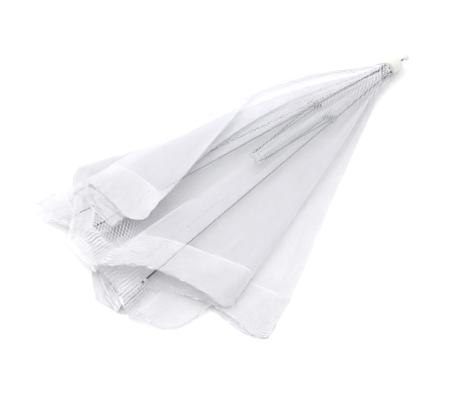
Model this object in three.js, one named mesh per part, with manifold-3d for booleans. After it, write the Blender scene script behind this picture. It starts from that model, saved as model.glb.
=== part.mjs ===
// A folding mesh food cover, closed and lying on its side.
// Four wire ribs hang from a hub on a ring wire. Struts tie them to a runner, which a cord pulls up
// to the hub. Four triangular mesh gores, each with a doubled hem band, hang between the ribs.
// Units are millimetres. +Z is up, the open end of the cover points to -X and the pull bead to +X.

import * as THREE from 'three';
import { mergeVertices } from 'three/addons/utils/BufferGeometryUtils.js';
import Module from 'manifold-3d';

const wasm = await Module();
wasm.setup();

// ---- Driving dimensions ----
const RIB_LENGTH = 350; // pivot to tip
const OPEN_SIDE = 428; // side of the square that the open cover makes, 17 inches
const RIB_RADIUS = 0.75;
const STRUT_RADIUS = 0.6;
const RING_RADIUS = 5.2; // the ring wire that the ribs or the struts hang from
const RING_WIRE = 0.4;
const NOTCH_RADIUS = 7; // outside of the notched mouldings of hub and runner
const NOTCH_BOSS = 3.6;
const NOTCH_HALF = 3; // half the length of a notched moulding
const NOTCH_WIDTH = 3.4;
const FLANGE = 1; // closes the notches at one end
const FLANGE_RADIUS = 5.8;
const RING_CLEARANCE = 0.25; // round a ring wire in its groove
const BORE_RADIUS = 1.4; // for the cord
const CORD_RADIUS = 0.6;
const CAP_LENGTH = 14.5;
const CLIP_DISTANCE = 87; // hub pivot to clip, along a rib
const CLIP_OFFSET = 2.9; // rib axis to rivet axis
const CLIP_LENGTH = 6.5;
const CLIP_WIDTH = 4.2;
const CLIP_WALL = 0.5;
const STRUT_LENGTH = 89.4; // rivet to the eye at the runner
const STRUT_EYE_GAP = 1.8; // the open pivot's eye stands this far outside the runner's ring
const EYE_RADIUS = 1.05; // of a rib's or a strut's eye
const TUBE_LENGTH = 92;
const TUBE_RADIUS = 3.6;
const TUBE_WALL = 0.7;
const GAP = 0.3; // left between pieces that touch
const MESH_THICK = 1.2; // the soft solids' thickness, much more than the mesh itself

// ---- Where the closed cover lies ----
const HUB = new THREE.Vector3(174.1, 19.3, 8.5); // middle of the hub's ring wire
const SHAFT_PITCH = THREE.MathUtils.degToRad(1.6); // the runner's end lies higher than the hub
const RUNNER_DISTANCE = 176.4; // hub ring to runner ring, closed
const FIRST_ROLL = -20; // degrees about the shaft from +Y to rib a, the others follow at 90
const RIB_NAMES = ['a', 'b', 'c', 'd'];
const REST_YAW = [9.2, 5.5, -5.2, -2]; // degrees towards +Y of each closed rib
const REST_TIP_HEIGHT = [13.7, 18.2, 10.6, 3.2];

const OPEN_ANGLE = Math.asin(OPEN_SIDE / Math.SQRT2 / RIB_LENGTH); // rib to shaft, open

const model = new THREE.Group();
model.userData.joints = [];

// ---- Materials ----
const finish = (color, roughness, metalness = 0, opacity = 1) =>
  new THREE.MeshStandardMaterial({
    color, roughness, metalness, opacity, transparent: opacity < 1,
  });
const FINISH = {
  wire: () => finish(0x3a3a3c, 0.4, 0.9),
  bright: () => finish(0x9a9a9c, 0.35, 0.9),
  cap: () => finish(0xe9e8dc, 0.5),
  clear: () => finish(0xdfe3e4, 0.25, 0, 0.6),
  tube: () => finish(0xeceeee, 0.35, 0, 0.8),
  cord: () => finish(0xf0f0ee, 0.9),
  bead: () => finish(0xc4c6c8, 0.2, 0, 0.8),
  mesh: () => finish(0xf2f2f7, 0.9, 0, 0.7),
};

// ---- Solids ----
function toManifold(geometry) {
  const bare = new THREE.BufferGeometry();
  bare.setAttribute('position', geometry.getAttribute('position'));
  if (geometry.index) bare.setIndex(geometry.index);
  const merged = mergeVertices(bare, 1e-4);
  const vertProperties = new Float32Array(merged.getAttribute('position').array);
  const triVerts = new Uint32Array(merged.index.array);
  return new wasm.Manifold(new wasm.Mesh({ numProp: 3, vertProperties, triVerts }));
}

function fromManifold(manifold) {
  const { vertProperties, triVerts } = manifold.getMesh();
  const geometry = new THREE.BufferGeometry();
  geometry.setAttribute('position', new THREE.BufferAttribute(vertProperties, 3));
  geometry.setIndex(new THREE.BufferAttribute(triVerts, 1));
  return geometry;
}

const join = (...parts) => fromManifold(parts.map(toManifold).reduce((a, b) => a.add(b)));
const cut = (part, ...tools) =>
  fromManifold(tools.reduce((a, t) => a.subtract(toManifold(t)), toManifold(part)));

// A closed profile of [along, radius] points turned about the X axis.
function turned(profile, segments = 24) {
  const points = profile.map(([x, r]) => new THREE.Vector2(r, x));
  points.push(points[0].clone());
  return facingOut(new THREE.LatheGeometry(points, segments).rotateZ(-Math.PI / 2));
}

const rodX = (radius, from, to, sides = 10) =>
  new THREE.CylinderGeometry(radius, radius, to - from, sides)
    .rotateZ(Math.PI / 2)
    .translate((from + to) / 2, 0, 0);

const tubeX = (outer, inner, from, to, segments = 20) =>
  turned([[from, inner], [to, inner], [to, outer], [from, outer]], segments);

// A loop of wire in the XZ plane, hung on something that runs along Y.
const eye = (radius, wire, x = 0) =>
  new THREE.TorusGeometry(radius, wire, 8, 14).rotateX(Math.PI / 2).translate(x, 0, 0);

function add(parent, name, geometry, material) {
  const mesh = new THREE.Mesh(geometry, material());
  mesh.name = name;
  parent.add(mesh);
  return mesh;
}

// ---- Directions ----
const onShaft = new THREE.Quaternion().setFromAxisAngle(new THREE.Vector3(0, 1, 0), SHAFT_PITCH);
const shaftVector = (x, y, z) => new THREE.Vector3(x, y, z).applyQuaternion(onShaft);
const shaftPoint = (x, y, z) => shaftVector(x, y, z).add(HUB);

function radial(index) {
  const roll = THREE.MathUtils.degToRad(FIRST_ROLL + 90 * index);
  return shaftVector(0, Math.cos(roll), Math.sin(roll));
}

function towards(direction, side) {
  const x = direction.clone().normalize();
  const y = side.clone().addScaledVector(x, -side.dot(x)).normalize();
  const basis = new THREE.Matrix4().makeBasis(x, y, x.clone().cross(y));
  return new THREE.Quaternion().setFromRotationMatrix(basis);
}

// The turn that takes the first pair of directions to the second.
const turnBetween = (from, fromSide, to, toSide) =>
  towards(to, toSide).multiply(towards(from, fromSide).invert());

function addJoint(name, parent, child, turn, position) {
  const angle = 2 * Math.acos(Math.min(1, Math.abs(turn.w)));
  const axis = new THREE.Vector3(turn.x, turn.y, turn.z).multiplyScalar(Math.sign(turn.w) || 1);
  model.userData.joints.push({
    name, parent, child,
    axis: axis.normalize().toArray(),
    position: position.toArray(),
    degrees: THREE.MathUtils.radToDeg(angle),
  });
}

// ---- Hub, runner and cord ----
// One notched moulding serves as hub and as runner: a boss with four teeth, a flange at one end
// (at +X where side is 1, at -X where it is -1) and a groove for a ring wire.
function notchedMoulding(side) {
  const span = (from, to) => [from * side, to * side].sort((a, b) => a - b);
  const boss = tubeX(NOTCH_RADIUS, BORE_RADIUS, ...span(-NOTCH_HALF, NOTCH_HALF), 32);
  const flange = tubeX(
    FLANGE_RADIUS, BORE_RADIUS, ...span(NOTCH_HALF - FLANGE, NOTCH_HALF + FLANGE), 32);
  const slot = RING_WIRE + RING_CLEARANCE;
  const groove = tubeX(NOTCH_RADIUS + 1, RING_RADIUS - slot, -slot, slot, 32);
  const notches = RIB_NAMES.map((name, index) =>
    new THREE.BoxGeometry(2 * NOTCH_HALF + 2, NOTCH_RADIUS, NOTCH_WIDTH)
      .translate(-side, NOTCH_BOSS + NOTCH_RADIUS / 2, 0)
      .rotateX(THREE.MathUtils.degToRad(FIRST_ROLL + 90 * index)));
  return join(cut(boss, groove, ...notches), flange);
}

const ringWire = () =>
  new THREE.TorusGeometry(RING_RADIUS, RING_WIRE, 8, 32).rotateY(Math.PI / 2);

function domedCap(start) {
  const end = start + CAP_LENGTH;
  const outside = NOTCH_RADIUS - 0.2;
  const dome = [0, 18, 36, 54, 72].map((degrees) => {
    const angle = THREE.MathUtils.degToRad(degrees);
    return [end - 4 + 4 * Math.sin(angle), outside - 4 + 4 * Math.cos(angle)];
  });
  return turned([
    [start, BORE_RADIUS + 1.6], [end - 3, BORE_RADIUS + 1.6], [end - 3, BORE_RADIUS],
    [end, BORE_RADIUS], ...dome.reverse(), [start, outside],
  ], 32);
}

function dropBead(start) {
  const profile = [[start, CORD_RADIUS + 0.15]];
  for (let step = 1; step <= 8; step += 1) {
    const share = step / 9;
    const radius = 3.1 * Math.sin(Math.PI * share ** 1.5) + 0.9 * (1 - share);
    profile.push([start + 7.4 * share, Math.max(radius, CORD_RADIUS + 0.4)]);
  }
  profile.push([start + 7.4, CORD_RADIUS + 0.15]);
  return turned(profile.reverse(), 20);
}

const shaft = new THREE.Group();
shaft.position.copy(HUB);
shaft.quaternion.copy(onShaft);
model.add(shaft);

const capStart = NOTCH_HALF + FLANGE + GAP;
const capEnd = capStart + CAP_LENGTH;
add(shaft, 'top_cap', domedCap(capStart), FINISH.cap);
add(shaft, 'hub_notch_ring', notchedMoulding(1), FINISH.clear);
add(shaft, 'hub_ring_wire', ringWire(), FINISH.bright);
add(shaft, 'apex_binding',
  new THREE.TorusGeometry(NOTCH_RADIUS + 0.75, 0.4, 8, 32).rotateY(Math.PI / 2)
    .translate(NOTCH_HALF - 0.5, 0, 0),
  FINISH.cord);

const runner = new THREE.Group();
runner.position.x = -RUNNER_DISTANCE;
shaft.add(runner);
const tubeStart = NOTCH_HALF + GAP;
add(runner, 'runner_notch_ring', notchedMoulding(-1), FINISH.clear);
add(runner, 'runner_ring_wire', ringWire(), FINISH.bright);
add(runner, 'runner_tube',
  tubeX(TUBE_RADIUS, TUBE_RADIUS - TUBE_WALL, tubeStart, tubeStart + TUBE_LENGTH),
  FINISH.tube);
add(runner, 'cord_knot',
  new THREE.SphereGeometry(2.2, 14, 10).scale(0.8, 1, 1).translate(-NOTCH_HALF - FLANGE - 2.1, 0, 0),
  FINISH.cord);
const crimpStart = RUNNER_DISTANCE + capEnd + 2.2;
add(runner, 'pull_cord', rodX(CORD_RADIUS, -NOTCH_HALF - FLANGE, crimpStart + 5.2, 8), FINISH.cord);
add(runner, 'cord_crimp',
  tubeX(1.1, CORD_RADIUS + 0.15, crimpStart, crimpStart + 3, 14), FINISH.bright);
add(runner, 'pull_bead', dropBead(crimpStart + 3 + GAP), FINISH.bead);

// ---- Ribs, clips and struts ----
function ribWire() {
  return join(
    eye(EYE_RADIUS, RING_WIRE),
    rodX(RIB_RADIUS, 1.25, RIB_LENGTH, 10),
  );
}

// A folded strip round the rib, with two ears that hold the rivet.
function ribClip() {
  const back = -RIB_RADIUS - CLIP_WALL;
  const front = CLIP_OFFSET + 1.2;
  const strip = new THREE.BoxGeometry(CLIP_LENGTH, CLIP_WIDTH, front - back)
    .translate(0, 0, (front + back) / 2);
  const bore = rodX(RIB_RADIUS + 0.1, -CLIP_LENGTH, CLIP_LENGTH, 14);
  const forkStart = RIB_RADIUS + 0.3;
  const fork = new THREE.BoxGeometry(CLIP_LENGTH + 2, CLIP_WIDTH - 2 * CLIP_WALL, front)
    .translate(0, 0, forkStart + front / 2);
  const pinHole = new THREE.CylinderGeometry(0.65, 0.65, 2 * CLIP_WIDTH, 12)
    .translate(0, 0, CLIP_OFFSET);
  return cut(strip, bore, fork, pinHole);
}

const clipRivet = () =>
  join(
    new THREE.CylinderGeometry(0.5, 0.5, CLIP_WIDTH + 0.8, 10),
    new THREE.CylinderGeometry(1, 1, 0.5, 12).translate(0, CLIP_WIDTH / 2 + GAP + 0.25, 0),
    new THREE.CylinderGeometry(1, 1, 0.5, 12).translate(0, -CLIP_WIDTH / 2 - GAP - 0.25, 0),
  );

function strutWire(length) {
  return join(
    eye(1.15, 0.45),
    rodX(STRUT_RADIUS, 1.3, length - 1.25, 10),
    eye(EYE_RADIUS, RING_WIRE, length),
  );
}

const STRUT_END_RADIUS = RING_RADIUS + RING_WIRE + STRUT_EYE_GAP;
const ribs = RIB_NAMES.map((name, index) => {
  const outward = radial(index);
  const pivot = HUB.clone().addScaledVector(outward, RING_RADIUS);
  const rise = (REST_TIP_HEIGHT[index] - pivot.z) / RIB_LENGTH;
  const yaw = THREE.MathUtils.degToRad(REST_YAW[index]);
  const level = Math.sqrt(1 - rise * rise);
  const rest = new THREE.Vector3(-level * Math.cos(yaw), level * Math.sin(yaw), rise);
  const open = shaftVector(-Math.cos(OPEN_ANGLE), 0, 0).addScaledVector(
    outward, Math.sin(OPEN_ANGLE));
  const turn = new THREE.Quaternion().setFromUnitVectors(rest, open);
  const hinge = rest.clone().cross(open).normalize();
  const inward = hinge.clone().cross(rest).normalize().negate();
  return { name, outward, pivot, rest, open, turn, hinge, inward };
});

function addRib(rib) {
  addJoint(`rib_${rib.name}_swing`, 'root', `rib_${rib.name}`, rib.turn, rib.pivot);
  const group = new THREE.Group();
  group.position.copy(rib.pivot);
  group.quaternion.copy(towards(rib.rest, rib.hinge));
  const side = new THREE.Vector3(0, 0, 1).applyQuaternion(group.quaternion);
  const flip = side.dot(rib.inward) < 0 ? Math.PI : 0;
  model.add(group);
  add(group, `rib_${rib.name}`, ribWire(), FINISH.wire);
  const clip = add(group, `rib_clip_${rib.name}`, ribClip().rotateX(flip), FINISH.bright);
  clip.position.x = CLIP_DISTANCE;
  const rivet = add(group, `clip_rivet_${rib.name}`, clipRivet(), FINISH.bright);
  rivet.position.set(CLIP_DISTANCE, 0, flip ? -CLIP_OFFSET : CLIP_OFFSET);
  const tie = add(group, `corner_tie_${rib.name}`,
    tubeX(RIB_RADIUS + 0.75, RIB_RADIUS + 0.15, 0, 3.2, 14), FINISH.cord);
  tie.position.x = RIB_LENGTH - 5;
}

function addStrut(rib) {
  const clip = rib.pivot.clone()
    .addScaledVector(rib.rest, CLIP_DISTANCE)
    .addScaledVector(rib.inward, CLIP_OFFSET);
  const closedEnd = shaftPoint(-RUNNER_DISTANCE, 0, 0).addScaledVector(
    rib.outward, STRUT_END_RADIUS);
  const clipOpen = clip.clone().sub(rib.pivot).applyQuaternion(rib.turn).add(rib.pivot);
  const reach = clipOpen.clone().sub(HUB).dot(rib.outward) - STRUT_END_RADIUS;
  const along = Math.sqrt(STRUT_LENGTH ** 2 - reach ** 2);
  const openEnd = clipOpen.clone()
    .addScaledVector(rib.outward, -reach)
    .add(shaftVector(-along, 0, 0));
  const closed = closedEnd.sub(clip).normalize();
  const open = openEnd.clone().sub(clipOpen).normalize();
  open.applyQuaternion(rib.turn.clone().invert());
  const turn = new THREE.Quaternion().setFromUnitVectors(closed, open);
  addJoint(`strut_${rib.name}_swing`, `rib_${rib.name}`, `strut_${rib.name}`, turn, clip);
  const strut = add(model, `strut_${rib.name}`, strutWire(STRUT_LENGTH), FINISH.wire);
  strut.position.copy(clip);
  strut.quaternion.copy(towards(closed, closed.clone().cross(open)));
  return openEnd.sub(HUB).dot(shaftVector(-1, 0, 0));
}

ribs.forEach(addRib);
const openRunner = ribs.map(addStrut);
model.userData.openRunnerDistance = openRunner;
model.userData.shaftAxis = shaftVector(1, 0, 0).toArray();

// ---- Mesh gores and hem bands ----
// Each half gore lies between the ray of its rib's seam and the ray of its own middle crease.
// A ray gives [y, z] at three distances behind the hub, then where it meets hem band and free edge.
const STATIONS = [-60, -180, -350];
const GORE_START = -38; // the soft solids leave out the tight gather next to the hub
const GORES = {
  ab_half_a: {
    rib: 0, other: 1, outside: 1, crease: 0,
    rays: [
      { at: [[14, 15], [30.5, 20], [48, 27]], hem: -284, edge: -330 },
      { at: [[19, 10], [42, 13], [80, 17]], hem: -340, edge: -372 },
    ],
  },
  ab_half_b: {
    rib: 1, other: 0, outside: 1, crease: 1,
    rays: [
      { at: [[7.5, 17.5], [19, 25.5], [14, 33]], hem: -342, edge: -378 },
      { at: [[12.6, 15.6], [28.5, 21.5], [45, 28.5]], hem: -284, edge: -330 },
    ],
  },
  bc_half_b: {
    rib: 1, other: 2, outside: 1, crease: 0,
    rays: [
      { at: [[-20, 9.2], [-60, 9], [-118, 9]], hem: -274, edge: -322 },
      { at: [[-12.5, 15], [-32, 21], [-62, 24]], hem: -296, edge: -336 },
      { at: [[-1.5, 18.7], [-5, 28], [-4, 29]], hem: -322, edge: -370 },
      { at: [[6, 17.8], [15.5, 25], [30, 22.5]], hem: -342, edge: -378 },
    ],
  },
  bc_half_c: {
    rib: 2, other: 1, outside: 1, crease: 0,
    rays: [
      { at: [[-21, 7], [-60, 7], [-118, 6.8]], hem: -274, edge: -322 },
      { at: [[-13.4, 8.8], [-22.5, 8.5], [-37, 8]], hem: -338, edge: -380 },
    ],
  },
  cd_half_c: {
    rib: 2, other: 3, outside: 1, crease: 0,
    rays: [
      { at: [[-29, 2.6], [-88, 2.6], [-174, 2.8]], hem: -258, edge: -304 },
      { at: [[-14, 6.2], [-24, 6.5], [-41, 6]], hem: -340, edge: -376 },
    ],
  },
  cd_half_d: {
    rib: 3, other: 2, outside: -1, crease: 0,
    rays: [
      { at: [[-28, 0.6], [-88, 0.6], [-174, 0.6]], hem: -258, edge: -304 },
      { at: [[-6, 0.6], [-11, 0.6], [-18, 0.6]], hem: -342, edge: -378 },
    ],
  },
  da_half_d: {
    rib: 3, other: 0, outside: -1, crease: 1,
    rays: [
      { at: [[-1, 0.6], [-3, 0.6], [-6, 0.6]], hem: -342, edge: -378 },
      { at: [[25, 0.6], [64, 0.6], [126, 0.6]], hem: -270, edge: -312 },
    ],
  },
  da_half_a: {
    rib: 0, other: 3, outside: 1, crease: 1,
    rays: [
      { at: [[17.8, 7.6], [38, 9.5], [67, 11.5]], hem: -340, edge: -372 },
      { at: [[25.5, 2.6], [64, 2.8], [126, 3.4]], hem: -270, edge: -312 },
    ],
  },
};

function onRay(ray, x) {
  const last = x < STATIONS[1] ? 1 : 0;
  const share = (x - STATIONS[last]) / (STATIONS[last + 1] - STATIONS[last]);
  const [y0, z0] = ray.at[last];
  const [y1, z1] = ray.at[last + 1];
  return new THREE.Vector3(x, y0 + (y1 - y0) * share, z0 + (z1 - z0) * share);
}

// A thin slab over a grid of points, given as rows[along][across].
function slab(rows) {
  const across = rows[0].length;
  const half = MESH_THICK / 2;
  const positions = [];
  for (const lift of [half, -half]) {
    rows.flat().forEach((p) => positions.push(p.x + HUB.x, p.y + HUB.y, p.z + lift));
  }
  const count = rows.length * across;
  const indices = [];
  const quad = (a, b, c, d) => indices.push(a, b, c, a, c, d);
  const at = (i, j, layer) => layer * count + i * across + j;
  for (let i = 0; i < rows.length - 1; i += 1) {
    for (let j = 0; j < across - 1; j += 1) {
      quad(at(i, j, 0), at(i, j + 1, 0), at(i + 1, j + 1, 0), at(i + 1, j, 0));
      quad(at(i, j, 1), at(i + 1, j, 1), at(i + 1, j + 1, 1), at(i, j + 1, 1));
    }
    quad(at(i, 0, 0), at(i + 1, 0, 0), at(i + 1, 0, 1), at(i, 0, 1));
    const last = across - 1;
    quad(at(i, last, 0), at(i, last, 1), at(i + 1, last, 1), at(i + 1, last, 0));
  }
  const end = rows.length - 1;
  for (let j = 0; j < across - 1; j += 1) {
    quad(at(0, j, 0), at(0, j, 1), at(0, j + 1, 1), at(0, j + 1, 0));
    quad(at(end, j, 0), at(end, j + 1, 0), at(end, j + 1, 1), at(end, j, 1));
  }
  const geometry = new THREE.BufferGeometry();
  geometry.setAttribute('position', new THREE.Float32BufferAttribute(positions, 3));
  geometry.setIndex(indices);
  return facingOut(geometry);
}

function facingOut(geometry) {
  const position = geometry.getAttribute('position');
  const index = geometry.index.array;
  const corner = (i) => new THREE.Vector3().fromBufferAttribute(position, index[i]);
  let volume = 0;
  for (let i = 0; i < index.length; i += 3) {
    volume += corner(i).dot(corner(i + 1).cross(corner(i + 2)));
  }
  if (volume < 0) geometry.setIndex([...index].reverse());
  return geometry;
}

function addHalfGore(name, gore) {
  const upper = [GORE_START, STATIONS[1]].map((x) => gore.rays.map((ray) => onRay(ray, x)));
  const hem = gore.rays.map((ray) => onRay(ray, ray.hem));
  const hemStart = gore.rays.map((ray) => onRay(ray, ray.hem - GAP));
  const edge = gore.rays.map((ray) => onRay(ray, ray.edge));
  add(model, `gore_${name}`, slab([...upper, hem]), FINISH.mesh);
  add(model, `hem_${name}`, slab([hemStart, edge]), FINISH.mesh);
  addGoreJoint(name, gore);
}

function addGoreJoint(name, gore) {
  const rib = ribs[gore.rib];
  const middle = rib.open.clone().add(ribs[gore.other].open).normalize();
  const sideOpen = rib.open.clone().addScaledVector(middle, -rib.open.dot(middle));
  const apex = new THREE.Vector3(0, 0, HUB.z);
  const creaseRay = gore.rays[gore.crease];
  const crease = onRay(creaseRay, creaseRay.hem).sub(apex).normalize();
  const seamRay = gore.rays[gore.crease === 0 ? gore.rays.length - 1 : 0];
  const seam = onRay(seamRay, seamRay.hem).sub(apex).normalize();
  const sideRest = seam.addScaledVector(crease, -seam.dot(crease));
  const total = turnBetween(crease, sideRest, middle, sideOpen);
  const turn = rib.turn.clone().invert().multiply(total);
  addJoint(`gore_${name}_spread`, `rib_${rib.name}`, `gore_${name}`, turn, HUB);
}

Object.entries(GORES).forEach(([name, gore]) => addHalfGore(name, gore));

export default model;
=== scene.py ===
import bpy
import bmesh
import math
import numpy as np
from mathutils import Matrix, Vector


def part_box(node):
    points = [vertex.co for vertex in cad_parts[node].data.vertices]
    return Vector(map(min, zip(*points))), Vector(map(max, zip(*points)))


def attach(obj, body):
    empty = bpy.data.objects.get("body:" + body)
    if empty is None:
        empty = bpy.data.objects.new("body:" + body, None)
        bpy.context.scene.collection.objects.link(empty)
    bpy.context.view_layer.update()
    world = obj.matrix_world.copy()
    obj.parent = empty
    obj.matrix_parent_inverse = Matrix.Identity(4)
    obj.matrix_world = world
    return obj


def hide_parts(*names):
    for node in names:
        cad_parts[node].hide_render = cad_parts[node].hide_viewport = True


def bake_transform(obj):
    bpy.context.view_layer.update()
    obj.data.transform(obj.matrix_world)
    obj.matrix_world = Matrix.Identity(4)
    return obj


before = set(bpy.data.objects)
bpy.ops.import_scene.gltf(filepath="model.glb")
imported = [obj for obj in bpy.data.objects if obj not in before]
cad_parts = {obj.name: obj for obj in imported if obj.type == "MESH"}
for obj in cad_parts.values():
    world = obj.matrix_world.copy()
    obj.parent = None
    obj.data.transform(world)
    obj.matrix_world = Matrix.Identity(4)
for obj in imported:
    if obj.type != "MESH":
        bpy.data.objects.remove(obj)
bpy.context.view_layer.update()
MM = 0.001

# ---- Frame facts ----
ring_low, ring_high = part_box("hub_ring_wire")
HUB = (Vector(ring_low) + Vector(ring_high)) / 2
PITCH = math.radians(1.6)
ALONG = Vector((math.cos(PITCH), 0, -math.sin(PITCH)))
UP = Vector((math.sin(PITCH), 0, math.cos(PITCH)))
ROLLS = {"a": -20, "b": 70, "c": 160, "d": 250}


# ---- Materials ----
class Nodes:
    """A material with short calls for the nodes that it is built from."""

    def __init__(self, name):
        self.mat = bpy.data.materials.new(name)
        self.mat.use_nodes = True
        self.tree = self.mat.node_tree
        self.bsdf = self.tree.nodes["Principled BSDF"]

    def node(self, kind, **values):
        made = self.tree.nodes.new(kind)
        for key, value in values.items():
            setattr(made, key, value)
        return made

    def link(self, a, b):
        self.tree.links.new(a, b)

    def set(self, name, value):
        self.bsdf.inputs[name].default_value = value

    def math(self, op, *values):
        made = self.node("ShaderNodeMath", operation=op)
        for i, value in enumerate(values):
            if hasattr(value, "is_output"):
                self.link(value, made.inputs[i])
            else:
                made.inputs[i].default_value = value
        return made.outputs[0]

    def noise(self, scale, detail=3, coords=None, stretch=None):
        tex = self.node("ShaderNodeTexNoise")
        tex.inputs["Scale"].default_value = scale
        tex.inputs["Detail"].default_value = detail
        if coords is None:
            coords = self.node("ShaderNodeTexCoord").outputs["Object"]
        if stretch:
            mapping = self.node("ShaderNodeMapping")
            mapping.inputs["Scale"].default_value = stretch
            self.link(coords, mapping.inputs["Vector"])
            coords = mapping.outputs["Vector"]
        self.link(coords, tex.inputs["Vector"])
        return tex.outputs["Fac"]

    def ramp(self, fac, low, high, stops=(0.35, 0.65)):
        made = self.node("ShaderNodeValToRGB")
        made.color_ramp.elements[0].position = stops[0]
        made.color_ramp.elements[1].position = stops[1]
        made.color_ramp.elements[0].color = (*low, 1)
        made.color_ramp.elements[1].color = (*high, 1)
        self.link(fac, made.inputs["Fac"])
        return made.outputs["Color"]

    def bump(self, height, strength, distance=0.0002):
        made = self.node("ShaderNodeBump")
        made.inputs["Strength"].default_value = strength
        made.inputs["Distance"].default_value = distance
        self.link(height, made.inputs["Height"])
        self.link(made.outputs["Normal"], self.bsdf.inputs["Normal"])


ROUGH_SPREAD = 0.22
THREAD_LAY = 0.0006  # metres between the turns of a laid thread
MESH_TONE = (0.85, 0.85, 0.89)
# The hem band is the gore mesh folded double. Its lighter tone is painted light, for the brighter
# look of doubled layers that let less shade through.
HEM_TONE_PAINTED_LIGHTER = (0.90, 0.90, 0.93)
WEAVE_PITCH = 0.0023  # metres between threads
THREAD_HALF = 0.105  # half the width of a thread, in pitches
HOLE_ALPHA = 0.02
STITCH_AT, STITCH_HALF = 0.0022, 0.0004  # metres from the hem seam, and half a thread
STITCHES_PER_METRE, STITCH_SHARE = 330, 0.75


def wear(name, low, high, rough, metal, scale, stretch=None):
    """Metal or moulded plastic with fine uneven colour, roughness and relief."""
    m = Nodes(name)
    spots = m.noise(scale, 4, stretch=stretch)
    m.link(m.ramp(spots, low, high), m.bsdf.inputs["Base Color"])
    spread = m.math("MULTIPLY_ADD", m.noise(scale * 2.3, 2), ROUGH_SPREAD,
                    rough - ROUGH_SPREAD / 2)
    m.link(spread, m.bsdf.inputs["Roughness"])
    m.set("Metallic", metal)
    m.bump(m.noise(scale * 1.7, 3, stretch=stretch), 0.25, 0.0001)
    return m


def thread(name, low, high):
    """Tightly laid thread or cord, with painted shade in the grooves between its turns."""
    m = Nodes(name)
    wave = m.node("ShaderNodeTexWave", wave_type="BANDS", bands_direction="DIAGONAL")
    wave.inputs["Scale"].default_value = 0.3 / THREAD_LAY
    wave.inputs["Distortion"].default_value = 1.5
    m.link(m.node("ShaderNodeTexCoord").outputs["Object"], wave.inputs["Vector"])
    # Painted shade: the colour is darkest where the bump is lowest, in the grooves between turns.
    m.link(m.ramp(wave.outputs["Fac"], low, high, (0.1, 0.7)), m.bsdf.inputs["Base Color"])
    m.link(m.ramp(m.noise(900), (0.7,) * 3, (0.9,) * 3), m.bsdf.inputs["Roughness"])
    m.bump(wave.outputs["Fac"], 0.5)
    m.set("Sheen Weight", 0.2)
    return m


def mesh_cloth(name, tone, stitched=False):
    """Sheer weave: two sets of threads over open holes, from UVs in metres of the flat cut."""
    m = Nodes(name)
    uv = m.node("ShaderNodeUVMap", uv_map="cut").outputs["UV"]
    # Slow noise lets the threads wander a little.
    soft = m.node("ShaderNodeTexNoise")
    soft.inputs["Scale"].default_value = 18
    soft.inputs["Detail"].default_value = 1
    m.link(uv, soft.inputs["Vector"])
    small = m.node("ShaderNodeVectorMath", operation="SCALE")
    small.inputs["Scale"].default_value = WEAVE_PITCH * 2.5
    m.link(soft.outputs["Color"], small.inputs[0])
    drift = m.node("ShaderNodeVectorMath", operation="ADD")
    m.link(uv, drift.inputs[0])
    m.link(small.outputs["Vector"], drift.inputs[1])
    split = m.node("ShaderNodeSeparateXYZ")
    m.link(drift.outputs["Vector"], split.inputs[0])
    lines = []
    for axis in "XY":
        saw = m.math("FRACT", m.math("MULTIPLY", split.outputs[axis], 1 / WEAVE_PITCH))
        lines.append(m.math("ABSOLUTE", m.math("SUBTRACT", saw, 0.5)))
    edge = m.node("ShaderNodeMapRange", interpolation_type="SMOOTHSTEP")
    edge.inputs["From Min"].default_value = THREAD_HALF * 0.6
    edge.inputs["From Max"].default_value = THREAD_HALF * 1.4
    edge.inputs["To Min"].default_value = 1.0
    edge.inputs["To Max"].default_value = HOLE_ALPHA
    m.link(m.math("MINIMUM", *lines), edge.inputs["Value"])
    alpha = edge.outputs["Result"]
    if stitched:
        flat = m.node("ShaderNodeSeparateXYZ")
        m.link(uv, flat.inputs[0])
        away = m.math("ABSOLUTE", m.math("SUBTRACT", flat.outputs["Y"], STITCH_AT))
        turn = m.math("FRACT", m.math("MULTIPLY", flat.outputs["X"], STITCHES_PER_METRE))
        dash = m.math("MULTIPLY", m.math("LESS_THAN", away, STITCH_HALF),
                      m.math("LESS_THAN", turn, STITCH_SHARE))
        alpha = m.math("MAXIMUM", alpha, dash)
    m.link(alpha, m.bsdf.inputs["Alpha"])
    dark = tuple(c * 0.95 for c in tone)
    m.link(m.ramp(m.noise(45, 3, uv), dark, tone), m.bsdf.inputs["Base Color"])
    m.link(m.ramp(m.noise(300, 2, uv), (0.5,) * 3, (0.7,) * 3), m.bsdf.inputs["Roughness"])
    m.bump(alpha, 0.25)
    m.set("Sheen Weight", 0.15)
    return m


MAT = {
    "wire": wear("dark_wire", (0.05, 0.05, 0.053), (0.11, 0.11, 0.115), 0.45, 0.5, 260),
    "bright": wear("bright_wire", (0.16, 0.16, 0.165), (0.34, 0.34, 0.35), 0.36, 0.9, 420),
    "cap": wear("cap_plastic", (0.70, 0.70, 0.655), (0.76, 0.76, 0.72), 0.42, 0, 240),
    "clear": wear("milky_plastic", (0.52, 0.54, 0.56), (0.68, 0.70, 0.72), 0.28, 0, 260),
    "tube": wear("tube_plastic", (0.50, 0.51, 0.53), (0.60, 0.61, 0.63), 0.33, 0, 180,
                 (0.3, 1, 1)),
    "thread": thread("white_thread", (0.58, 0.58, 0.59), (0.80, 0.80, 0.81)),
    "bead": wear("bead_plastic", (0.56, 0.57, 0.59), (0.72, 0.73, 0.75), 0.18, 0, 240),
    "mesh": mesh_cloth("fine_mesh", MESH_TONE),
    # Painted light: the hem uses a lighter tone than the gore mesh of the same fabric.
    "hem": mesh_cloth("hem_mesh_painted_lighter", HEM_TONE_PAINTED_LIGHTER, stitched=True),
}

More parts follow.
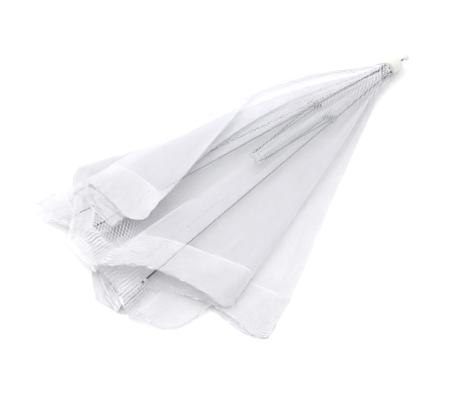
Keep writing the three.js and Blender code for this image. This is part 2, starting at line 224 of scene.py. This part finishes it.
# ---- Carried-over frame pieces ----
FINISH = {"hub_notch_ring": "clear", "hub_ring_wire": "bright", "apex_binding": "thread",
          "runner_notch_ring": "clear", "runner_ring_wire": "bright", "cord_knot": "thread",
          "pull_cord": "thread", "cord_crimp": "bright"}
for r in "abcd":
    FINISH.update({f"rib_{r}": "wire", f"strut_{r}": "wire", f"rib_clip_{r}": "bright",
                   f"clip_rivet_{r}": "bright", f"corner_tie_{r}": "thread"})
for node, key in FINISH.items():
    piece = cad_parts[node]
    piece.data.materials.clear()
    piece.data.materials.append(MAT[key].mat)

# ---- Finer turned pieces ----
TURNED_SIDES = 56
SHARP_EDGE = math.radians(38)


def turned(name, profile, middle, material, node, body):
    """A closed profile of (along, radius) in mm, turned about the shaft's direction at middle."""
    made = bmesh.new()
    side = ALONG.cross(UP)
    rings = []
    for along, radius in profile:
        ring = []
        for i in range(TURNED_SIDES):
            angle = 2 * math.pi * i / TURNED_SIDES
            place = ALONG * along + (side * math.cos(angle) + UP * math.sin(angle)) * radius
            ring.append(made.verts.new(Vector(middle) + place * MM))
        rings.append(ring)
    for near, far in zip(rings, rings[1:] + rings[:1]):
        for i in range(TURNED_SIDES):
            j = (i + 1) % TURNED_SIDES
            made.faces.new((near[i], near[j], far[j], far[i]))
    bmesh.ops.recalc_face_normals(made, faces=made.faces)
    data = bpy.data.meshes.new(name)
    made.to_mesh(data)
    made.free()
    data.polygons.foreach_set("use_smooth", [True] * len(data.polygons))
    data.set_sharp_from_angle(angle=SHARP_EDGE)
    piece = bpy.data.objects.new(name, data)
    bpy.context.scene.collection.objects.link(piece)
    data.materials.append(material.mat)
    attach(piece, body)
    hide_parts(node)


def middle_of(node):
    """Middle of a node that is round about the shaft."""
    low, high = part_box(node)
    return (Vector(low) + Vector(high)) / 2


# The cap is open at the hub end and has a domed end with a bore for the cord.
cap = [(4.3, 3.1), (4.3, 6.35), (4.7, 6.75), (6.2, 6.8), (6.5, 6.62), (6.9, 6.62), (7.2, 6.8)]
cap += [(14.9 + 3.85 * math.sin(t), 2.9 + 3.85 * math.cos(t))
        for t in np.radians(np.linspace(0, 86, 12))]
cap += [(18.75, 1.7), (18.4, 1.45), (15.9, 1.45), (15.8, 3.0)]
turned("cap_shell", cap, HUB, MAT["cap"], "top_cap", "root")
# The bead is a drop: slim at the cord, widest past its middle.
BEAD_LENGTH, BEAD_RADIUS = 7.4, 3.1
bead = [(-3.7, 0.8), (-3.6, 1.0)]
for t in np.linspace(0.06, 0.97, 22):
    wide = max(BEAD_RADIUS * math.sin(math.pi * t ** 1.5) + 0.9 * (1 - t), 1.0)
    bead.append((-BEAD_LENGTH / 2 + BEAD_LENGTH * t, wide))
bead += [(3.68, 0.95), (3.7, 0.8)]
turned("bead_drop", bead, middle_of("pull_bead"), MAT["bead"], "pull_bead", "runner")
# The sleeve is a straight tube with rounded rims.
tube = [(-46, 2.95), (-46, 3.5), (-45.8, 3.6), (-45.2, 3.6), (-44.9, 3.5), (44.9, 3.5),
        (45.2, 3.6), (45.8, 3.6), (46, 3.5), (46, 2.95)]
turned("runner_sleeve", tube, middle_of("runner_tube"), MAT["tube"], "runner_tube",
       "runner")

# ---- Mesh gores ----
HALF_ANGLE = 37.8  # degrees, rib seam to midline in the flat cut
MIDLINE = 280  # hub to hem seam along the midline
HALF_WIDTH = MIDLINE * math.tan(math.radians(HALF_ANGLE))
# Curves are points of distance from the hub, sideways place and height, all in mm.
SEAM_CURVES = {
    "a": [(30, 9, 8), (60, 15.5, 7.5), (180, 35, 9.5), (300, 53.5, 11.5), (345, 60.5, 12),
          (378, 82, 4)],
    "b": [(30, 5, 16.4), (60, 7.5, 17), (180, 19, 18), (300, 30.4, 19.6), (345, 34.7, 20),
          (378, 40, 15)],
    "c": [(30, -7, 9), (60, -10.5, 8.6), (180, -21, 8.6), (300, -31.8, 8.7), (345, -36, 8.6),
          (378, -40, 5)],
    "d": [(30, -2.5, 2.2), (60, -4, 1.5), (180, -8.1, 1.2), (300, -12.3, 1.1), (345, -14, 1.1),
          (384, -16, 0.9)],
}
AB_CREASE = [(30, 16, 15), (60, 30, 17), (110, 47, 20), (150, 53, 23), (180, 42, 25),
             (215, 32, 26), (255, 20, 26.5), (285, 13, 26), (330, 2, 24)]
DA_CREASE = [(30, 10.5, 2.2), (60, 21, 1.6), (180, 64, 1.4), (300, 106, 1.4), (335, 118, 1.4)]
CD_CREASE = [(30, -13, 2), (60, -26.8, 1.2), (180, -80, 1.1), (300, -134, 1.1), (335, -147, 1.1)]
BC_CREASE = [(30, -10, 7.5), (60, -21, 7.4), (120, -42, 7.4), (180, -61, 7.2), (240, -80, 6.8),
             (300, -98, 6), (340, -110, 4)]
# Each half gore has its rib, its middle crease, the height that keeps it off its neighbours, its
# reach as (share, distance to the hem seam, distance to the free edge), and the curves between
# the rib seam (share 0) and the crease (share 1).
HALVES = {
    "ab_half_a": ("a", AB_CREASE, 1.3,
        [(0, 350, 380), (0.12, 322, 350), (0.2, 312, 340), (0.5, 298, 328), (0.75, 284, 322),
         (1, 280, 322)], [
        (0.2, [(60, 11, 11), (180, 20, 12.5), (300, 24, 13.5), (360, 26, 13)]),
        (0.5, [(60, 31, 13.5), (110, 49, 16), (160, 59, 18), (200, 68, 17), (240, 77, 16),
                (280, 82, 15.5), (330, 84, 14)]),
        (0.75, [(60, 31, 17.2), (110, 49, 20), (160, 57, 22), (200, 55, 23), (240, 50, 23.5),
                (280, 48, 24), (330, 46, 22)]),
    ]),
    "ab_half_b": ("b", AB_CREASE, 0.0,
        [(0, 350, 378), (0.12, 325, 352), (0.22, 312, 342), (0.45, 300, 336), (0.74, 290, 330),
         (1, 280, 322)], [
        (0.22, [(60, 22, 14), (110, 40, 15.5), (160, 52, 16.5), (200, 62, 16), (300, 74, 15.5)]),
        (0.45, [(60, 16, 16.5), (110, 28, 18), (180, 32, 20), (300, 24, 20.5), (350, 22, 19)]),
        (0.74, [(60, 28, 16.2), (110, 46, 18.6), (160, 54, 20), (200, 60, 20), (300, 66, 19)]),
    ]),
    "bc_half_b": ("b", BC_CREASE, 0.8,
        [(0, 350, 378), (0.12, 342, 374), (0.27, 325, 373), (0.45, 308, 347), (0.6, 299, 338),
         (0.85, 288, 333), (1, 288, 334)], [
        (0.12, [(60, 3.5, 17), (120, 5, 20), (176, 7, 24), (205, 8, 20), (240, 7, 14),
                (300, 5, 11), (370, 6, 9)]),
        (0.27, [(60, -1, 18.6), (120, -4, 24), (180, -8, 27.6), (240, -10, 29), (300, -8, 29.4),
                (372, -6, 26)]),
        (0.6, [(30, -8.5, 13), (60, -13, 15.6), (120, -26, 20), (180, -37, 22), (240, -50, 23),
                (300, -60, 23.6), (345, -62, 24)]),
        (0.85, [(60, -20, 9.5), (120, -39, 12), (180, -57, 12.5), (240, -76, 12.8),
                (300, -92, 13.5), (340, -97, 13)]),
    ]),
    "bc_half_c": ("c", BC_CREASE, -0.6,
        [(0, 350, 388), (0.3, 334, 364), (0.5, 338, 384), (0.65, 334, 378), (0.79, 316, 362),
         (0.88, 298, 333), (1, 288, 334)], [
        (0.3, [(60, -4, 8), (120, -6, 7.8), (185, -9, 7.6), (235, 0, 9.6), (300, 15, 10.2),
                (350, 17, 8.6)]),
        (0.44, [(60, -9, 6.8), (180, -22, 6.4), (300, -24, 6.8), (344, -28, 9), (376, -36, 20)]),
        (0.53, [(60, -11, 6.6), (180, -28, 6.2), (300, -38, 5.6), (344, -46, 5), (376, -52, 2.5)]),
        (0.59, [(60, -12, 6.6), (180, -32, 6.2), (300, -46, 5.6), (340, -52, 8), (370, -60, 15)]),
        (0.68, [(60, -14, 6.6), (180, -38, 6.2), (300, -56, 5.2), (360, -74, 2.4)]),
    ]),
    "cd_half_c": ("c", CD_CREASE, 0.7,
        [(0, 350, 388), (0.3, 338, 374), (0.65, 298, 334), (1, 294, 349)], [
        (0.3, [(60, -2, 5), (180, -3, 5), (300, -8, 4.6), (350, -12, 4)]),
        (0.65, [(60, -15, 4.4), (180, -46, 4.4), (300, -74, 4.6), (345, -86, 4)]),
        (0.88, [(60, -24, 2.6), (180, -70, 3.4), (300, -117, 4.2), (340, -132, 3.4)]),
    ]),
    "cd_half_d": ("d", CD_CREASE, -0.5,
        [(0, 350, 390), (0.22, 334, 366), (0.6, 300, 334), (1, 294, 349)], [
        (0.22, [(60, 1, 2.4), (180, 4, 2.4), (300, 9, 2.3), (360, 11, 2)]),
        (0.6, [(60, -13, 1.1), (180, -38, 0.9), (300, -62, 0.8), (350, -72, 0.8)]),
    ]),
    "da_half_d": ("d", DA_CREASE, -0.8,
        [(0, 350, 390), (0.22, 345, 382), (0.45, 328, 365), (0.7, 305, 347), (1, 283, 332)], [
        (0.22, [(60, -8, 0.8), (180, -22, 0.7), (300, -36, 0.7), (360, -44, 0.7)]),
        (0.6, [(60, 8, 0.7), (180, 22, 0.6), (300, 35, 0.6), (350, 40, 0.6)]),
    ]),
    "da_half_a": ("a", DA_CREASE, 0.8,
        [(0, 350, 380), (0.3, 342, 376), (0.62, 312, 352), (1, 283, 332)], [
        (0.3, [(60, 18, 6.4), (180, 54, 7.6), (300, 86, 8), (350, 96, 6)]),
        (0.62, [(60, 9, 4), (180, 22, 4.6), (300, 38, 5), (340, 44, 4.4)]),
    ]),
}
BAND_AT_SEAM, BAND_AT_CREASE = 30, 50  # width of the folded band, in mm
GATHER_RADIUS = 7.3  # where the mesh is tied round the hub
GATHER_AHEAD = 3  # the gather starts this far to the cap side of the ring wire's middle
FLOOR_GAP, FOLD_GAP = 0.35, 0.3  # lowest height of a sheet, and half the doubled band's depth
LOW_RIPPLE, HIGH_RIPPLE = 0.5, 2.2  # creases of the sheets on the floor and above it
COLUMNS, ROWS, BAND_ROWS = 72, 84, 14


def cubic(s, span, start, leaving, end, arriving):
    """Cubic from start to end with the given slopes, at s from 0 to 1 over a span."""
    return ((2 * s**3 - 3 * s**2 + 1) * start + (s**3 - 2 * s**2 + s) * span * leaving
            + (3 * s**2 - 2 * s**3) * end + (s**3 - s**2) * span * arriving)


def hermite(points, at):
    """Smooth curve through (position, values...) points, straight on past the last one."""
    p = np.array(points, float)
    t, values = p[:, 0], p[:, 1:]
    slopes = np.gradient(values, t, axis=0)
    k = np.clip(np.searchsorted(t, at) - 1, 0, len(t) - 2)
    span = (t[k + 1] - t[k])[:, None]
    s = np.clip((at - t[k])[:, None] / span, 0, 1)
    over = np.maximum(at - t[-1], 0)[:, None]
    curve = cubic(s, span, values[k], slopes[k], values[k + 1], slopes[k + 1])
    return curve + over * slopes[-1]


RAY_WAVES, SHORT_WAVES = 7, 9


def ripples(u, v, seed):
    """Creases that run mostly along the rays, as a smooth sum of waves from -1 to 1."""
    local = np.random.default_rng(seed)
    total = np.zeros_like(u)
    for _ in range(RAY_WAVES):
        across = local.uniform(2, 9)
        along = local.uniform(-2.2, 2.2)
        phase = local.uniform(0, 6.283)
        bend = local.uniform(0.3, 1.4) * np.sin(2 * np.pi * v * local.uniform(0.4, 1.3) + phase)
        wave = np.sin(2 * np.pi * (across * u + along * v) + bend + phase)
        total += (1 - np.abs(wave)) ** 2 - 0.35
    return total / RAY_WAVES


def crumples(u, v, seed):
    """Short crisp folds in all directions, for the loose hems, from about -1 to 1."""
    local = np.random.default_rng(seed + 500)
    x = (1 - u) * 210  # across the half gore, in mm
    y = v * 60  # down it, closer together than in the flat, as the hem is gathered
    total = np.zeros_like(u)
    for _ in range(SHORT_WAVES):
        length = local.uniform(16, 44)
        angle = local.uniform(0, 3.1416)
        phase = local.uniform(0, 6.283)
        swing = 0.8 * np.sin((x * local.uniform(-1, 1) + y * local.uniform(-1, 1)) / 19 + phase)
        wave = np.sin(6.283 * (x * np.cos(angle) + y * np.sin(angle)) / length + swing + phase)
        total += (1 - np.abs(wave)) ** 1.5 - 0.4
    return total / 2.6


def flat_point(u, v):
    """Place in the flat cut, in metres: x from the midline, y down from the hub."""
    return HALF_WIDTH * (1 - u) * v * MM, MIDLINE * v * MM


def reach(table, u):
    """Distance from the hub to hem seam and free edge, which is rounded at the crease."""
    both = hermite(table, u.ravel()).reshape(*u.shape, 2)
    rounded_off = 9 * np.clip((u - 0.88) / 0.12, 0, 1) ** 2
    return both[..., 0], both[..., 1] - rounded_off


def gore_surface(name, u, v):
    """Folded places, in mm from the hub: u is the share, v is 1 at the hem and 2 at the edge."""
    rib, crease, lift, table, inner = HALVES[name]
    turn = 45 if name[0] == rib else -45  # the gore lies before or after this rib round the hub
    guides = [(0.0, SEAM_CURVES[rib])] + inner + [(1.0, crease)]
    shares = np.array([g[0] for g in guides])
    hem, edge = reach(table, u)
    r = np.where(v <= 1, v * hem, hem + (v - 1) * (edge - hem)).ravel()
    places = []
    for share, points in guides:
        roll = math.radians(ROLLS[rib] + turn * share)
        start = (2, GATHER_RADIUS * math.cos(roll), HUB.z / MM + GATHER_RADIUS * math.sin(roll))
        if points[0][0] >= 60:  # leave the gather on a gentle curve
            halfway = (30, points[0][1] * 0.5 + 1.5 * math.cos(roll), 4.5 + points[0][2] * 0.5)
            points = [halfway] + points
        raised = lift if 0 < share < 1 else 0
        places.append(hermite([start] + [(far, y, z + raised) for far, y, z in points], r))
    stack = np.array(places)  # guide, point, (y, z)
    flat_u = u.ravel()
    k = np.clip(np.searchsorted(shares, flat_u, side="right") - 1, 0, len(shares) - 2)
    idx = np.arange(len(flat_u))
    gaps = shares[1:] - shares[:-1]
    # Slopes are limited, so the sheet turns over at a guide and doesn't swing past it.
    slopes = np.zeros_like(stack)
    secants = (stack[1:] - stack[:-1]) / gaps[:, None, None]
    slopes[0], slopes[-1] = secants[0], secants[-1]
    for g in range(1, len(shares) - 1):
        same = np.sign(secants[g - 1]) == np.sign(secants[g])
        mean = (secants[g - 1] + secants[g]) / 2
        least = np.sign(mean) * 2 * np.minimum(np.abs(secants[g - 1]), np.abs(secants[g]))
        limited = np.where(np.abs(mean) < np.abs(least), mean, least)
        slopes[g] = np.where(same, limited, 0)
    s = ((flat_u - shares[k]) / gaps[k])[:, None]
    yz = cubic(s, gaps[k][:, None], stack[k, idx], slopes[k, idx], stack[k + 1, idx],
               slopes[k + 1, idx])
    y, z = yz[:, 0], yz[:, 1]
    x = -np.sqrt(np.maximum(r**2 - y**2 * 0.98, 1)) + GATHER_AHEAD
    x = np.where(r < 12, np.maximum(x, GATHER_AHEAD - r), x)  # straight off the tie
    return np.stack([x, y, z], axis=-1).reshape(*u.shape, 3)


def smooth(t):
    t = np.clip(t, 0, 1)
    return t * t * (3 - 2 * t)


def unit_normals(points):
    normal = np.cross(np.gradient(points, axis=1), np.gradient(points, axis=0))
    return normal / np.maximum(np.linalg.norm(normal, axis=-1, keepdims=True), 1e-6)


def edge_wave(v, key):
    """Waves shared by the two sheets that meet at a rib seam or at a crease."""
    slow = 1.1 * np.sin(9 * v + key) * smooth((v - 0.2) / 0.6)
    return slow + 2.2 * np.sin(17 * v + 2 * key) * smooth((v - 0.95) / 0.8)


def with_ripples(name, points, u, v, seed, on_floor):
    """Adds creases, gathered pleats near the hub and a loose, crumpled hem to folded places."""
    height = LOW_RIPPLE if on_floor else HIGH_RIPPLE
    room = np.clip(v * 1.6, 0, 1) * (0.25 + 0.75 * np.sin(np.pi * np.clip(u, 0, 1)) ** 0.6)
    loose = np.clip((v - 0.7) / 0.9, 0, 1) ** 1.5 * (1 - 0.55 * u)
    away = ripples(u, v, seed) * height * room
    away = away + crumples(u, v, seed) * loose * (1.4 + 0.9 * height)
    pleats = np.sin(2 * np.pi * 5 * u + 1.7 * np.sin(4 * v + seed) + seed)
    away = away + 1.2 * pleats * np.exp(-((v - 0.25) / 0.22) ** 2) * min(1, 0.4 + height / 4)
    # Both sheets keep to the same line where they meet, so they can't part there.
    at_seam, at_crease = 1 - smooth(u / 0.12), 1 - smooth((1 - u) / 0.12)
    moved = points + unit_normals(points) * (away * (1 - at_seam) * (1 - at_crease))[..., None]
    moved[..., 2] += edge_wave(v, ord(name[-1])) * at_seam * smooth((v - 0.95) / 0.5)
    moved[..., 2] += edge_wave(v, ord(name[0])) * at_crease * (0.3 if on_floor else 0.7)
    moved[..., 2] = np.maximum(moved[..., 2], FLOOR_GAP)
    return moved


def weight_place(u):
    """The place that a smoothstep turns back into the weight u."""
    u = np.clip(u, 0, 1)
    return 0.5 - np.sin(np.arcsin(1 - 2 * u) / 3)


def grid_piece(name, u, points, cut_uv, material, node):
    """A sheet laid out flat first, then moved to its folded places, with the flat cut as its UVs.
    """
    rows, columns = u.shape
    down = np.repeat(np.arange(rows), columns)
    flat = np.stack([weight_place(u.ravel()), down, np.zeros(u.size)], axis=-1)
    faces = []
    for i in range(rows - 1):
        for j in range(columns - 1):
            a = i * columns + j
            faces.append((a, a + 1, a + columns + 1, a + columns))
    data = bpy.data.meshes.new(name)
    data.from_pydata(flat.tolist(), [], faces)
    layer = data.uv_layers.new(name="cut")
    loops = np.zeros(len(data.loops), int)
    data.loops.foreach_get("vertex_index", loops)
    uv = np.stack([cut_uv[0].ravel(), cut_uv[1].ravel()], axis=-1)[loops]
    layer.data.foreach_set("uv", uv.ravel())
    piece = bpy.data.objects.new(name, data)
    bpy.context.scene.collection.objects.link(piece)
    data.materials.append(material.mat)
    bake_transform(piece)
    placed = points.reshape(-1, 3) * MM + np.array([HUB.x, HUB.y, 0])
    data.vertices.foreach_set("co", placed.ravel())
    data.update()
    data.polygons.foreach_set("use_smooth", [True] * len(data.polygons))
    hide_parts(node)
    return piece


def half_gore(name, seed):
    """One half of a gore and of its hem band, between a rib seam and the middle crease."""
    rib = HALVES[name][0]
    on_floor = rib == "d" or name == "da_half_a"
    u, v = np.meshgrid(np.linspace(0, 1, COLUMNS), np.linspace(0.0, 1, ROWS) ** 0.9)
    points = with_ripples(name, gore_surface(name, u, v), u, v, seed, on_floor)
    cloth = grid_piece(f"mesh_{name}", u, points, flat_point(u, v),
                       MAT["mesh"], f"gore_{name}")
    # The hem band is a strip folded at the free edge, so its rows run out and back.
    out = np.linspace(1, 2, BAND_ROWS)
    ub, vb = np.meshgrid(np.linspace(0, 1, COLUMNS), np.concatenate([out, out[::-1]]))
    face = with_ripples(name, gore_surface(name, ub, vb), ub, vb, seed, on_floor)
    normal = unit_normals(face[:BAND_ROWS])
    face = face + np.concatenate([normal, -normal[::-1]]) * FOLD_GAP
    face[..., 2] = np.maximum(face[..., 2], FOLD_GAP)
    run = np.concatenate([out - 1, 3 - out[::-1]])[:, None]
    cut = (HALF_WIDTH * (1 - ub) * MM,
           run * (BAND_AT_SEAM + (BAND_AT_CREASE - BAND_AT_SEAM) * ub) * MM)
    band = grid_piece(f"band_{name}", ub, face, cut,
                      MAT["hem"], f"hem_{name}")


FIRST_SEED = 40
for order, name in enumerate(HALVES):
    half_gore(name, FIRST_SEED + order)

# ---- Floor, light and camera ----
bpy.ops.mesh.primitive_plane_add(size=8, location=(0, 0, 0))
floor = bpy.context.object
floor.name = "floor"
paper = Nodes("floor_paper")
paper.link(paper.ramp(paper.noise(3), (0.91, 0.91, 0.912), (0.92, 0.92, 0.922)),
           paper.bsdf.inputs["Base Color"])
paper.set("Roughness", 0.9)
paper.set("Specular IOR Level", 0.0)
floor.data.materials.append(paper.mat)

sky = bpy.data.worlds.new("studio")
bpy.context.scene.world = sky
sky.use_nodes = True
sky.node_tree.nodes["Background"].inputs["Color"].default_value = (1, 1, 1, 1)
sky.node_tree.nodes["Background"].inputs["Strength"].default_value = 1.1

lamp_data = bpy.data.lights.new("key_softbox", "AREA")
lamp_data.size = 1.1
lamp_data.energy = 10
lamp = bpy.data.objects.new("key_softbox", lamp_data)
lamp.location = (-0.5, 1.0, 1.5)
lamp.rotation_euler = (-lamp.location).to_track_quat("-Z", "Y").to_euler()
bpy.context.scene.collection.objects.link(lamp)

ELEVATION, AZIMUTH, DISTANCE = math.radians(50), math.radians(-42.63), 1.3344
FIELD_OF_VIEW, SENSOR = math.radians(18), 36
target = Vector((HUB.x - 0.22375, HUB.y - 0.01316, 0))
back = Vector((math.sin(AZIMUTH) * math.cos(ELEVATION),
               -math.cos(AZIMUTH) * math.cos(ELEVATION), math.sin(ELEVATION)))
lens = bpy.data.cameras.new("camera")
lens.sensor_width = SENSOR
lens.lens = SENSOR / 2 / math.tan(FIELD_OF_VIEW / 2)
camera = bpy.data.objects.new("camera", lens)
camera.location = target + back * DISTANCE
camera.rotation_euler = back.to_track_quat("Z", "Y").to_euler()
bpy.context.scene.collection.objects.link(camera)
bpy.context.scene.camera = camera
bpy.context.scene.view_settings.view_transform = "Standard"
bpy.context.scene.cycles.transparent_max_bounces = 40  # many sheer layers lie over each other
